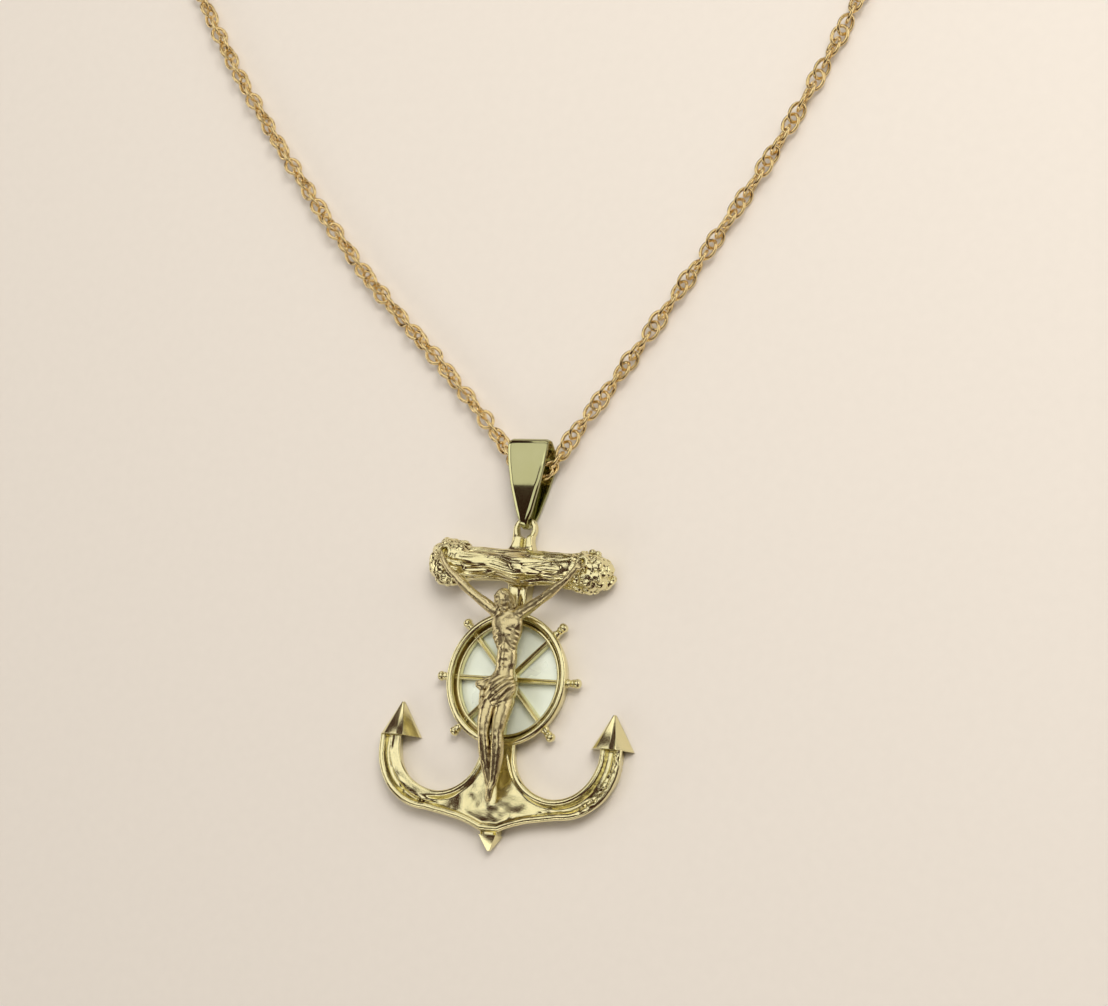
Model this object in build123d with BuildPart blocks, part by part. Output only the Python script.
from build123d import *
import os
from math import asin, cos, hypot, pi, radians, sin, tan

os.makedirs("parts", exist_ok=True)

# Anchor pendant on a rope chain, lying on its flat back. Millimetres. The origin is the centre of the
# ship's wheel on the resting surface, +Y runs up the pendant to the bail, +Z is out of its front.

# Clearances
GAP = 0.1            # between pieces that are pinned or let in
CHAIN_PLAY = 0.3     # chain to the bail's leaves
EYE_PLAY = 0.17      # bail to the ring of the eyelet
JOINT_LAP = 0.15     # how far an arm runs into its fluke

# Ship's wheel, cast with the anchor
RIM_R = 6.8          # outer radius of the rim
LIP_WIDTH = 0.5      # raised lip round the rim
LIP_RISE = 0.2       # of the lip over the shank
LEDGE_INNER_R = 5.5  # the ledge inside the lip, which the spokes spring from
LEDGE_TOP = 1.35
PLATE_R = 6.0
PLATE_THICKNESS = 0.55
SPOKE_COUNT = 8
SPOKE_WIDTH = 0.5
HUB_R = 1.1
HANDLE_REACH = 1.35  # handle beyond the rim
HANDLE_R = 0.28
HANDLE_TAPER = 0.9   # radius at the knob, over that at the rim
KNOB_R = 0.42
HANDLE_Z = 1.0

# Anchor shank, arms and crown
CAST_THICKNESS = 1.8
SHANK_WIDTH = 3.8    # below the wheel
NECK_WIDTH = 2.2     # between the wheel and the stock
CROOK_R = 4.7        # clear radius inside each arm
ARM_WIDTH = 2.45     # at the fluke
ARM_OUTER_R = 6.15
ARM_SAG = 0.6        # how far the outer arc sits below the inner one
CROWN_RISE = 0.6     # fall of the lower edge from the arms to the crown
CROWN_FALL = 1.0     # fall of the ogee to its point
CROWN_HALF_WIDTH = 4.0
CUSP_HALF_WIDTH = 1.05
OGEE_MIDDLE = 0.35   # share of the fall reached half way along the ogee
CHANNEL_MARGIN = 0.55
CHANNEL_DEPTH = 0.5
CHANNEL_START = 1.75  # from the middle line, so that the shank stays full under the feet

# Flukes and crown tip
FLUKE_WIDTH = 4.65
FLUKE_HEIGHT = 3.5
FLUKE_DEPTH = 2.7
FLUKE_RIDGE = 1.5    # width of the front facet at the base
FLUKE_EDGE = 0.35    # thickness of the barbs' edge
FLUKE_BASE_RISE = 0.5  # of the fluke's base above the middle of the crook
FLUKE_SHIFT = 0.49   # of the fluke's middle from the arm's, towards the wheel
FLUKE_BACK_RISE = 0.68  # of the point over the resting surface
POINT_SHARE = 0.07   # blunt end of a point, as a share of its base
TIP_WIDTH = 2.3
TIP_DEPTH = 1.7
TIP_HEIGHT = 1.6
TIP_NECK = 0.3       # gap of the dark band between the crown and the tip
TIP_NECK_WIDTH = 1.2
TIP_NECK_ROOT = 0.5  # how far the neck runs into the crown
TIP_NECK_LAP = 0.32  # how far it runs into the tip

# Log stock
STOCK_Y = 11.3
STOCK_HALF = 10.6    # half its length
STOCK_R = 1.62       # half its height between the knotty ends
STOCK_HALF_DEPTH = 1.55
KNOT_DEPTH = 1.16    # of the knotty ends, over the half depth of the middle
STOCK_TILT = -2.0    # degrees, the log sits a little crooked on the shank
NAIL_HOLE_R = 0.26
NAIL_HOLE_DEPTH = 0.8
NAIL_INSET = 2.7     # of the nail holes from the ends of the log
NAIL_RISE = 0.74     # of the nail holes over the log's middle line, clear of the hands

# Sections of the log: place along its half-length, half height and half depth over those of its middle,
# and the offset of the section's centre over the log's half height
STOCK_SECTIONS = [
    # along, height, depth, offset
    (-1.00, 0.80, 0.72, 0.00),
    (-0.94, 1.24, 1.06, 0.04),
    (-0.80, 1.42, KNOT_DEPTH, 0.03),
    (-0.64, 1.30, 1.12, -0.06),
    (-0.50, 1.02, 1.00, 0.02),
    (-0.22, 0.98, 0.97, 0.05),
    (0.08, 1.14, 1.04, -0.03),
    (0.36, 1.02, 1.00, 0.04),
    (0.56, 1.12, 1.05, -0.04),
    (0.76, 1.36, KNOT_DEPTH, -0.05),
    (0.92, 1.30, 1.10, 0.00),
    (1.00, 0.86, 0.76, 0.02),
]

# Eyelet on the log
EYE_WIRE = 0.5       # width of its ring
EYE_DEPTH = 0.7
EYE_Z = 1.3
GUSSET_WIDTH = 3.0
GUSSET_RISE = 0.96   # of the eyelet over the log
GUSSET_DEPTH = 1.1
GUSSET_ROOT = 0.6    # of the log's half height, where the gusset starts inside it
GUSSET_HEAD = 0.72   # half width of its top, over the ring's radius
GUSSET_TOP = 0.8     # of the eyelet's hole below its middle, where the gusset ends
GUSSET_SKEW = 0.8    # right half of its foot over the left half

# Bail
BAIL_LENGTH = 9.05
BAIL_TOP_WIDTH = 4.6
BAIL_WALL = 0.45
BAIL_FOOT_WIDTH = 0.85
BAIL_BACK_Z = 0.05   # its back leaf just clears the surface
# Front outline of the bail: share of its length up from its foot, share of the way from its foot's width
# to its top width
BAIL_OUTLINE = [
    # up, widening
    (-0.02, 0.00),
    (0.07, 0.02),
    (0.18, 0.24),
    (0.44, 0.60),
    (0.70, 0.88),
    (0.86, 0.97),
    (1.02, 1.00),
]

# Figure
FIGURE_TOP_Y = 8.9
FIGURE_HEIGHT = 21.2     # crown of the head to the toes
FIGURE_HALF_WIDTH = 1.85  # half the shoulders
FIGURE_RELIEF = 3.0      # how far it stands out from the casting
HAND_R = 0.46
HAND_INSET = 2.9         # of the hands from the ends of the log
# Torso and loincloth sections: share of the height down from the top, then the centre's place across,
# the half width, the half depth and the centre's height, over the named sizes
TORSO_SECTIONS = [
    # down, across, half_width, half_depth, stand
    (0.095, 0.08, 0.78, 0.17, 0.42),
    (0.150, 0.14, 0.96, 0.29, 0.42),
    (0.215, 0.20, 0.84, 0.30, 0.42),
    (0.305, 0.34, 0.60, 0.23, 0.36),
    (0.395, 0.32, 0.74, 0.27, 0.36),
]
CLOTH_SECTIONS = [
    # down, across, half_width, half_depth, stand
    (0.385, 0.30, 0.80, 0.30, 0.37),
    (0.450, 0.24, 0.98, 0.35, 0.38),
    (0.520, 0.20, 0.94, 0.34, 0.40),
    (0.560, 0.20, 0.84, 0.28, 0.42),
]
# Limbs: start and end, each as share across the shoulders, share down the height and share of the
# relief, and the radii at both ends over the shoulders' half width
LIMBS = [
    # across, down, stand, to_across, to_down, to_stand, start_r, end_r
    (0.02, 0.110, 0.42, -0.12, 0.062, 0.56, 0.27, 0.30),    # neck
    (-0.16, 0.050, 0.56, -0.02, 0.100, 0.72, 0.46, 0.25),   # head, down to the beard
    (-0.34, 0.036, 0.50, -0.52, 0.098, 0.46, 0.30, 0.16),   # hair on the near shoulder
    (0.12, 0.036, 0.48, 0.34, 0.095, 0.44, 0.28, 0.15),     # hair on the far shoulder
    (-0.34, 0.550, 0.42, -0.32, 0.690, 0.74, 0.44, 0.31),   # left thigh
    (-0.32, 0.690, 0.74, -0.04, 0.925, 0.20, 0.34, 0.19),   # left shin
    (-0.04, 0.925, 0.20, -0.06, 0.985, 0.28, 0.23, 0.17),   # left foot
    (0.62, 0.550, 0.40, 0.46, 0.675, 0.68, 0.44, 0.31),     # right thigh
    (0.46, 0.675, 0.68, 0.20, 0.915, 0.36, 0.34, 0.19),     # right shin
    (0.20, 0.915, 0.36, 0.16, 0.978, 0.40, 0.23, 0.17),     # right foot
    (-0.56, 0.440, 0.42, -1.02, 0.468, 0.46, 0.28, 0.34),   # knot of the cloth
    (-1.02, 0.468, 0.46, -1.08, 0.565, 0.38, 0.27, 0.15),   # its hanging end
]
ARM_START_R = 0.52       # mm, at the shoulder
ARM_ELBOW_R = 0.42
ARM_WRIST_R = 0.32
SHOULDER_MIDDLE = 0.14   # across, between the shoulder joints, in shares like the limbs'
SHOULDER_REACH = 0.80    # of each joint from that middle
SHOULDER_DOWN = 0.115
SHOULDER_STAND = 0.42
WRIST_INSET = 1.0        # mm, of the wrist from the hand along the log
WRIST_DROP = 1.2         # mm, of the wrist below the hand
ELBOW_ACROSS = 0.54      # share of the way from the shoulder to the wrist
ELBOW_UP = 0.48
ELBOW_OUT = 0.60

# Chain, as the tube that its links fill, and the barrel clasp at the back of the loop
CHAIN_D = 1.7
CHAIN_LIFT = 0.01    # of the tube off the surface
CHAIN_SAG = 1.7      # of the chain below the middle of the bail's top
LOOP_REACH = 76.2    # of the loop to the left of the pendant's middle line
LOOP_RISE = 202.5    # of the clasp over the chain in the bail
CLASP_ACROSS = -0.1837  # place of the clasp's middle, in shares of the loop's reach
CLASP_SPAN = 12.8    # between the ends of the chain
# Centre line of the chain from the clasp, down the left strand, through the bail and back up: shares of
# the loop's reach and rise, and of the way up from the surface to the middle of the bail's top
CHAIN_ROUTE = [
    # across, up, lift
    (-0.4173, 0.9862, 0.00),
    (-0.6982, 0.9230, 0.00),
    (-0.9160, 0.8123, 0.00),
    (-1.0000, 0.6770, 0.00),
    (-0.9633, 0.5289, 0.00),
    (-0.8425, 0.3867, 0.00),
    (-0.6365, 0.2509, 0.00),
    (-0.4843, 0.1778, 0.00),
    (-0.3123, 0.1052, 0.00),
    (-0.1864, 0.0637, 0.00),
    (-0.1176, 0.0395, 0.05),
    (-0.0604, 0.0188, 0.37),
    (-0.0131, 0.0002, 0.94),
    (0.0289, 0.0000, 0.94),
    (0.0525, 0.0202, 0.43),
    (0.0971, 0.0444, 0.05),
    (0.1811, 0.0933, 0.00),
    (0.2913, 0.1595, 0.00),
    (0.3911, 0.2365, 0.00),
    (0.5197, 0.3728, 0.00),
    (0.6024, 0.5240, 0.00),
    (0.6247, 0.6790, 0.00),
    (0.5630, 0.8114, 0.00),
    (0.3530, 0.9220, 0.00),
    (0.0604, 0.9857, 0.00),
]
ARC_SHARE = 0.45     # of the shorter run, taken by each arc
CLASP_BARREL_R = 1.4
CLASP_COLLAR_R = 1.55
CLASP_COLLAR_WIDTH = 0.8
CLASP_EYE_R = 0.7    # mean radius of each end's eye
CLASP_EYE_WIRE_R = 0.28

# Places that follow from the sizes
lip_top = CAST_THICKNESS + LIP_RISE
ledge_back = PLATE_THICKNESS + GAP
recess_r = PLATE_R + GAP
crook_x = SHANK_WIDTH / 2 + CROOK_R
crook_y = -RIM_R
arm_outside_x = crook_x + CROOK_R + ARM_WIDTH
outer_arc_x = arm_outside_x - ARM_OUTER_R
outer_arc_y = crook_y - ARM_SAG
arm_bottom_y = outer_arc_y - ARM_OUTER_R
crown_y = arm_bottom_y - CROWN_RISE
cusp_y = crown_y - CROWN_FALL
fluke_base_y = crook_y + FLUKE_BASE_RISE
fluke_x = crook_x + CROOK_R + ARM_WIDTH / 2 - FLUKE_SHIFT
stock_z = STOCK_HALF_DEPTH
knot_top_z = 2 * STOCK_HALF_DEPTH * KNOT_DEPTH
eye_hole_r = hypot(BAIL_FOOT_WIDTH / 2, BAIL_WALL) + EYE_PLAY
eye_ring_r = eye_hole_r + EYE_WIRE
eye_y = STOCK_Y + STOCK_R + GUSSET_RISE + eye_ring_r
bail_low_r = hypot(EYE_WIRE, EYE_DEPTH) / 2 + EYE_PLAY + BAIL_WALL
bail_top_r = CHAIN_D / 2 + CHAIN_PLAY + BAIL_WALL
bail_low_y = eye_y + eye_hole_r + EYE_WIRE / 2
bail_foot_y = bail_low_y - bail_low_r
bail_top_y = bail_foot_y + BAIL_LENGTH - bail_top_r
bail_top_z = BAIL_BACK_Z + bail_top_r
figure_back_z = CAST_THICKNESS + GAP
chain_hold_y = bail_top_y - CHAIN_SAG
chain_lie_z = CHAIN_D / 2 + CHAIN_LIFT
clasp_x = CLASP_ACROSS * LOOP_REACH
clasp_y = chain_hold_y + LOOP_RISE


def on_stock(along, lift=0.0):
    """A point of the log's tilted centre line, by its distance along from the middle."""
    turn = radians(STOCK_TILT)
    return (along * cos(turn), STOCK_Y + along * sin(turn), stock_z + lift)


def figure_point(across, down, stand):
    """A point of the figure from its shares of the shoulders, the height and the relief."""
    x = across * FIGURE_HALF_WIDTH
    y = FIGURE_TOP_Y - down * FIGURE_HEIGHT
    z = figure_back_z + stand * FIGURE_RELIEF
    return (x, y, z)


def limb(start, end, start_r, end_r):
    """A tapered limb with round ends, turned about its own axis and joined to the piece being built."""
    axis = Vector(*end) - Vector(*start)
    length = axis.length
    taper = asin((start_r - end_r) / length)
    side = Vector(0, 0, 1).cross(axis)
    low, high = (-pi / 2 + taper) / 2, (pi / 2 + taper) / 2
    with BuildSketch(Plane(origin=start, x_dir=side, z_dir=side.cross(axis))) as profile:
        with BuildLine():
            ThreePointArc(
                (0, -start_r),
                (start_r * cos(low), start_r * sin(low)),
                (start_r * cos(taper), start_r * sin(taper)),
            )
            Line(
                (start_r * cos(taper), start_r * sin(taper)),
                (end_r * cos(taper), length + end_r * sin(taper)),
            )
            ThreePointArc(
                (end_r * cos(taper), length + end_r * sin(taper)),
                (end_r * cos(high), length + end_r * sin(high)),
                (0, length + end_r),
            )
            Line((0, length + end_r), (0, -start_r))
        make_face()
    revolve(profile.sketch, axis=Axis(start, axis))


def arc_radii(route):
    """The radius at each inner point of a route, from its shorter run and its turn."""
    radii = []
    for before, here, after in zip(route, route[1:], route[2:]):
        run_in = Vector(*here) - Vector(*before)
        run_out = Vector(*after) - Vector(*here)
        half_turn = radians(run_in.get_angle(run_out)) / 2
        radii.append(ARC_SHARE * min(run_in.length, run_out.length) / tan(half_turn))
    return radii


# Anchor: one casting, soldered to its eyelet
with BuildPart() as anchor:
    # Arms, lower shank and crown, right half drawn and mirrored
    with BuildSketch() as arms_outline:
        with BuildLine():
            arm_top_y = fluke_base_y + JOINT_LAP
            Polyline(
                (0, cusp_y),
                (0, crook_y + LIP_WIDTH),
                (SHANK_WIDTH / 2, crook_y + LIP_WIDTH),
                (SHANK_WIDTH / 2, crook_y),
            )
            CenterArc((crook_x, crook_y), CROOK_R, 180, 180)
            Polyline(
                (crook_x + CROOK_R, crook_y),
                (crook_x + CROOK_R, arm_top_y),
                (arm_outside_x, arm_top_y),
                (arm_outside_x, outer_arc_y),
            )
            CenterArc((outer_arc_x, outer_arc_y), ARM_OUTER_R, 0, -90)
            Line((outer_arc_x, arm_bottom_y), (CROWN_HALF_WIDTH, crown_y))
            ThreePointArc(
                (CROWN_HALF_WIDTH, crown_y),
                ((CROWN_HALF_WIDTH + CUSP_HALF_WIDTH) / 2, crown_y - CROWN_FALL * OGEE_MIDDLE),
                (CUSP_HALF_WIDTH, cusp_y),
            )
            Line((CUSP_HALF_WIDTH, cusp_y), (0, cusp_y))
        make_face()
        mirror(about=Plane.YZ)
    extrude(amount=CAST_THICKNESS)
    # Recessed channel between raised edges
    with BuildSketch(Plane.XY.offset(CAST_THICKNESS - CHANNEL_DEPTH)):
        offset(arms_outline.sketch, amount=-CHANNEL_MARGIN, kind=Kind.INTERSECTION)
        with Locations((0, crook_y)):
            Rectangle(2 * CHANNEL_START, 4 * CROOK_R, mode=Mode.SUBTRACT)
    extrude(amount=CHANNEL_DEPTH, mode=Mode.SUBTRACT)
    # Neck of the shank, between the wheel and the log
    with BuildSketch():
        with Locations((0, RIM_R - LIP_WIDTH)):
            Rectangle(NECK_WIDTH, STOCK_Y - RIM_R + LIP_WIDTH, align=(Align.CENTER, Align.MIN))
    extrude(amount=CAST_THICKNESS)
    # Wheel rim: an outer wall up to the lip, with the ledge inside it
    with BuildSketch() as rim_wall:
        Circle(RIM_R)
        Circle(RIM_R - LIP_WIDTH, mode=Mode.SUBTRACT)
    extrude(amount=lip_top)
    with BuildSketch() as rim_foot:
        Circle(RIM_R)
        Circle(recess_r, mode=Mode.SUBTRACT)
    extrude(amount=LEDGE_TOP)
    with BuildSketch(Plane.XY.offset(ledge_back)) as ledge:
        Circle(RIM_R)
        Circle(LEDGE_INNER_R, mode=Mode.SUBTRACT)
    extrude(amount=LEDGE_TOP - ledge_back)
    with BuildSketch(Plane.XY.offset(ledge_back)) as hub:
        Circle(HUB_R)
        with PolarLocations(0, SPOKE_COUNT):
            Rectangle(RIM_R - LIP_WIDTH / 2, SPOKE_WIDTH, align=(Align.MIN, Align.CENTER))
    extrude(amount=LEDGE_TOP - ledge_back)
    # Recess for the plate, cut last so that nothing stands in it
    with BuildSketch():
        Circle(recess_r)
    extrude(amount=ledge_back, mode=Mode.SUBTRACT)
    # Handles of the wheel
    for number in range(SPOKE_COUNT):
        angle = 2 * pi * number / SPOKE_COUNT
        inner = (RIM_R - LIP_WIDTH / 2) * cos(angle), (RIM_R - LIP_WIDTH / 2) * sin(angle), HANDLE_Z
        reach = RIM_R + HANDLE_REACH - KNOB_R
        outer = reach * cos(angle), reach * sin(angle), HANDLE_Z
        limb(inner, outer, HANDLE_R, HANDLE_R * HANDLE_TAPER)
        with Locations(outer):
            Sphere(KNOB_R)
    # Flukes: a faceted point on each arm
    for side in (-1, 1):
        for level, share in ((fluke_base_y, 1.0), (fluke_base_y + FLUKE_HEIGHT, POINT_SHARE)):
            with BuildSketch(Plane.XZ.offset(-level)):
                half = FLUKE_WIDTH / 2 * share
                ridge = FLUKE_RIDGE / 2 * share
                low = FLUKE_BACK_RISE * (1 - share)
                high = low + FLUKE_DEPTH * share
                edge = low + FLUKE_EDGE * share
                with BuildLine():
                    Polyline(
                        (side * fluke_x - half, low),
                        (side * fluke_x - half, edge),
                        (side * fluke_x - ridge, high),
                        (side * fluke_x + ridge, high),
                        (side * fluke_x + half, edge),
                        (side * fluke_x + half, low),
                        close=True,
                    )
                make_face()
        loft(ruled=True)
    # Crown tip: a small point hung from the cusp by a narrow neck
    tip_top_y = cusp_y - TIP_NECK
    with BuildSketch(Plane.XZ.offset(-cusp_y - TIP_NECK_ROOT)):
        with Locations((0, CAST_THICKNESS / 2)):
            Rectangle(TIP_NECK_WIDTH, TIP_NECK_WIDTH)
    extrude(amount=TIP_NECK_ROOT + TIP_NECK + TIP_NECK_LAP)
    for level, share in ((tip_top_y, 1.0), (tip_top_y - TIP_HEIGHT, POINT_SHARE)):
        with BuildSketch(Plane.XZ.offset(-level)):
            with Locations((0, CAST_THICKNESS / 2)):
                Rectangle(TIP_WIDTH * share, TIP_DEPTH * share)
    loft(ruled=True)
    # Log stock
    for along, height, depth, shift in STOCK_SECTIONS:
        section = on_stock(along * STOCK_HALF)
        half_depth = STOCK_HALF_DEPTH * depth
        across = sin(radians(STOCK_TILT))
        plane = Plane(
            origin=(section[0], section[1] + shift * STOCK_R, half_depth),
            x_dir=(-across, cos(radians(STOCK_TILT)), 0),
            z_dir=(cos(radians(STOCK_TILT)), across, 0),
        )
        with BuildSketch(plane):
            Ellipse(STOCK_R * height, half_depth)
    loft()
    # Nail holes, one in each knotty end
    for side in (-1, 1):
        nail_x, nail_y, nail_z = on_stock(side * (STOCK_HALF - NAIL_INSET))
        with Locations((nail_x, nail_y + NAIL_RISE, knot_top_z - NAIL_HOLE_DEPTH)):
            Cylinder(
                NAIL_HOLE_R,
                NAIL_HOLE_DEPTH * 2,
                align=(Align.CENTER, Align.CENTER, Align.MIN),
                mode=Mode.SUBTRACT,
            )
    # Eyelet with its gusset
    with BuildSketch(Plane.XY.offset(EYE_Z - GUSSET_DEPTH / 2)):
        with BuildLine():
            Polyline(
                (-GUSSET_WIDTH / 2, STOCK_Y + STOCK_R * GUSSET_ROOT),
                (-eye_ring_r * GUSSET_HEAD, eye_y - eye_hole_r * GUSSET_TOP),
                (eye_ring_r * GUSSET_HEAD, eye_y - eye_hole_r * GUSSET_TOP),
                (GUSSET_WIDTH / 2 * GUSSET_SKEW, STOCK_Y + STOCK_R * GUSSET_ROOT),
                close=True,
            )
        make_face()
        with Locations((0, eye_y)):
            Circle(eye_hole_r, mode=Mode.SUBTRACT)
    extrude(amount=GUSSET_DEPTH)
    with BuildSketch(Plane.XY.offset(EYE_Z - EYE_DEPTH / 2)):
        with Locations((0, eye_y)):
            Circle(eye_ring_r)
            Circle(eye_hole_r, mode=Mode.SUBTRACT)
    extrude(amount=EYE_DEPTH)

# Bright plate, let into the back of the wheel
with BuildPart() as wheel_plate:
    with BuildSketch():
        Circle(PLATE_R)
    extrude(amount=PLATE_THICKNESS)

# Figure: torso, loincloth, head and limbs, just clear of the casting
with BuildPart() as corpus:
    for down, across, half_width, half_depth, stand in TORSO_SECTIONS:
        x, y, z = figure_point(across, down, stand)
        with BuildSketch(Plane.XZ.offset(-y)):
            with Locations((x, z)):
                Ellipse(half_depth * FIGURE_RELIEF, half_width * FIGURE_HALF_WIDTH, rotation=-90)
    loft()
    for down, across, half_width, half_depth, stand in CLOTH_SECTIONS:
        x, y, z = figure_point(across, down, stand)
        with BuildSketch(Plane.XZ.offset(-y)):
            with Locations((x, z)):
                Ellipse(half_depth * FIGURE_RELIEF, half_width * FIGURE_HALF_WIDTH, rotation=-90)
    loft()
    for across, down, stand, to_across, to_down, to_stand, start_r, end_r in LIMBS:
        limb(
            figure_point(across, down, stand),
            figure_point(to_across, to_down, to_stand),
            start_r * FIGURE_HALF_WIDTH,
            end_r * FIGURE_HALF_WIDTH,
        )
    # Arms rise from the shoulders to the hands on the ends of the log
    hand_lift = knot_top_z - stock_z + HAND_R + GAP
    for side in (-1, 1):
        shoulder = figure_point(SHOULDER_MIDDLE + side * SHOULDER_REACH, SHOULDER_DOWN, SHOULDER_STAND)
        hand = on_stock(side * (STOCK_HALF - HAND_INSET), hand_lift)
        wrist = (hand[0] - side * WRIST_INSET, hand[1] - WRIST_DROP, hand[2])
        elbow = (
            shoulder[0] + ELBOW_ACROSS * (wrist[0] - shoulder[0]),
            shoulder[1] + ELBOW_UP * (wrist[1] - shoulder[1]),
            shoulder[2] + ELBOW_OUT * (wrist[2] - shoulder[2]),
        )
        limb(shoulder, elbow, ARM_START_R, ARM_ELBOW_R)
        limb(elbow, wrist, ARM_ELBOW_R, ARM_WRIST_R)
        limb(wrist, hand, ARM_WRIST_R, HAND_R)

# Bail: a strip closed into a loop, its front outline tapered to the eyelet
with BuildPart() as bail:
    with BuildSketch(Plane.YZ) as bail_side:
        with Locations((bail_top_y, bail_top_z)):
            Circle(bail_top_r)
        with Locations((bail_low_y, EYE_Z)):
            Circle(bail_low_r)
        make_hull()
    extrude(amount=BAIL_TOP_WIDTH / 2, both=True)
    with BuildSketch(Plane.YZ) as bail_inside:
        with Locations((bail_top_y, bail_top_z)):
            Circle(bail_top_r - BAIL_WALL)
        with Locations((bail_low_y, EYE_Z)):
            Circle(bail_low_r - BAIL_WALL)
        make_hull()
    extrude(amount=BAIL_TOP_WIDTH, both=True, mode=Mode.SUBTRACT)
    with BuildSketch() as bail_front:
        with BuildLine():
            right = [
                (
                    (BAIL_FOOT_WIDTH + widening * (BAIL_TOP_WIDTH - BAIL_FOOT_WIDTH)) / 2,
                    bail_foot_y + up * BAIL_LENGTH,
                )
                for up, widening in BAIL_OUTLINE
            ]
            left = [(-x, y) for x, y in right]
            Spline(*right)
            Line(right[-1], left[-1])
            Spline(*left)
            Line(left[0], right[0])
        make_face()
    extrude(amount=2 * bail_top_z, both=True, mode=Mode.INTERSECT)

# Chain: the tube that its links fill
chain_route = [(clasp_x - CLASP_SPAN / 2, clasp_y, chain_lie_z)]
for across, up, lift in CHAIN_ROUTE:
    x = across * LOOP_REACH
    y = chain_hold_y + up * LOOP_RISE
    z = chain_lie_z + lift * (bail_top_z - chain_lie_z)
    chain_route.append((x, y, z))
chain_route.append((clasp_x + CLASP_SPAN / 2, clasp_y, chain_lie_z))
chain_radii = arc_radii(chain_route)
with BuildPart() as chain:
    with BuildLine() as chain_path:
        FilletPolyline(*chain_route, radius=chain_radii)
    with BuildSketch(Plane(origin=chain_path.line @ 0, z_dir=chain_path.line % 0)):
        Circle(CHAIN_D / 2)
    sweep()

# Clasp: a barrel with a collar and an eye at each end
clasp_length = CLASP_SPAN - 2 * GAP
eye_outer_r = CLASP_EYE_R + CLASP_EYE_WIRE_R
barrel_length = clasp_length - 4 * eye_outer_r + 4 * CLASP_EYE_WIRE_R
with BuildPart() as clasp:
    barrel_z = CLASP_COLLAR_R
    with BuildSketch(Plane.YZ.offset(clasp_x - barrel_length / 2)):
        with Locations((clasp_y, barrel_z)):
            Circle(CLASP_BARREL_R)
    extrude(amount=barrel_length)
    with BuildSketch(Plane.YZ.offset(clasp_x - CLASP_COLLAR_WIDTH / 2)):
        with Locations((clasp_y, barrel_z)):
            Circle(CLASP_COLLAR_R)
    extrude(amount=CLASP_COLLAR_WIDTH)
    for side in (-1, 1):
        eye_x = clasp_x + side * (clasp_length / 2 - eye_outer_r)
        with Locations(Plane(origin=(eye_x, clasp_y, barrel_z), z_dir=(0, 1, 0))):
            Torus(CLASP_EYE_R, CLASP_EYE_WIRE_R)

pieces = {
    "anchor": anchor,
    "wheel_plate": wheel_plate,
    "corpus": corpus,
    "bail": bail,
    "chain": chain,
    "clasp": clasp,
}
for name, piece in pieces.items():
    piece.part.label = name
    export_step(piece.part, f"parts/{name}.step")

path_length = sum(edge.length for edge in chain_path.edges())
print("chain arc radii, mm:", [round(radius, 1) for radius in chain_radii])
print("chain path length, mm:", round(path_length, 1))
print("chain volume, mm3:", round(chain.part.volume, 1))
print("section times length, mm3:", round(pi * CHAIN_D ** 2 / 4 * path_length, 1))
print("loop with clasp, mm:", round(path_length + CLASP_SPAN, 1))
print("chain route, mm:", [tuple(round(value, 2) for value in point) for point in chain_route])
